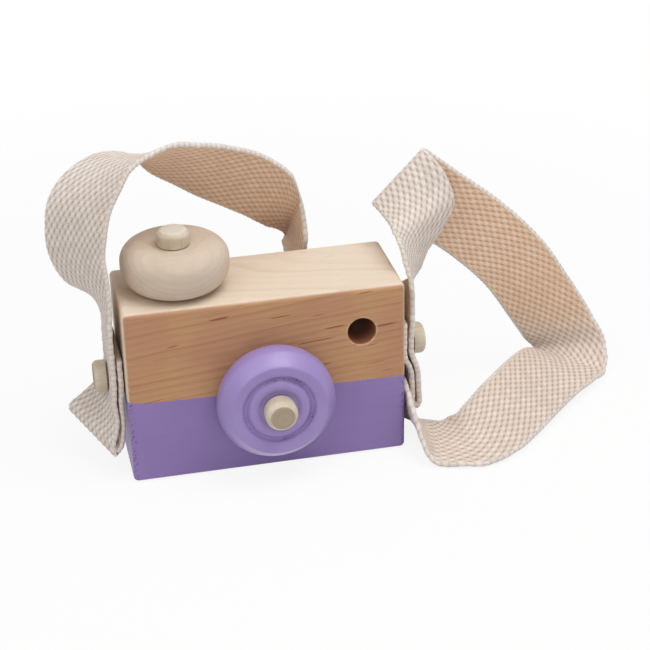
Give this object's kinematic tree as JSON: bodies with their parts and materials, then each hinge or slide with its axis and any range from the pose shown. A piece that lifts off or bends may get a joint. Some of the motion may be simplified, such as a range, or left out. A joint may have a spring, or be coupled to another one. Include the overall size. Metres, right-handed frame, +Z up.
{
  "type": "toy camera",
  "caption": "Wooden pretend-play camera: a rounded block with a painted lower half, turning lens and dial wheels on pegs, a see-through viewfinder hole and a pinned webbing neck strap.",
  "frame": {"origin": "middle of the block's underside, on the surface it stands on", "axes": "+Z up, the lens faces -Y, +X towards the viewfinder side (the viewer's right when facing the lens), along the longest extent"},
  "size_m": [0.1928, 0.0832, 0.1082],
  "materials": {
    "block_wood": "bare planed pine above, lavender paint below",
    "lens_paint": "satin lavender paint",
    "dial_wood": "bare sanded wood",
    "peg_wood": "bare turned hardwood",
    "webbing": "woven undyed cotton"
  },
  "bodies": {
    "camera": {"body_block": "block_wood", "lens_peg": "peg_wood", "dial_peg": "peg_wood", "strap_peg_left": "peg_wood", "strap_peg_right": "peg_wood", "strap": "webbing"},
    "lens": {"lens_wheel": "lens_paint"},
    "dial": {"dial_wheel": "dial_wood"}
  },
  "joints": [
    {"name": "lens_spin", "type": "hinge", "parent": "camera", "child": "lens", "pos_m": [0.001, -0.0178, 0.0275], "axis": [0, -1, 0], "continuous": true},
    {"name": "dial_spin", "type": "hinge", "parent": "camera", "child": "dial", "pos_m": [-0.0255, 0, 0.0603], "axis": [0, 0, 1], "continuous": true}
  ]
}
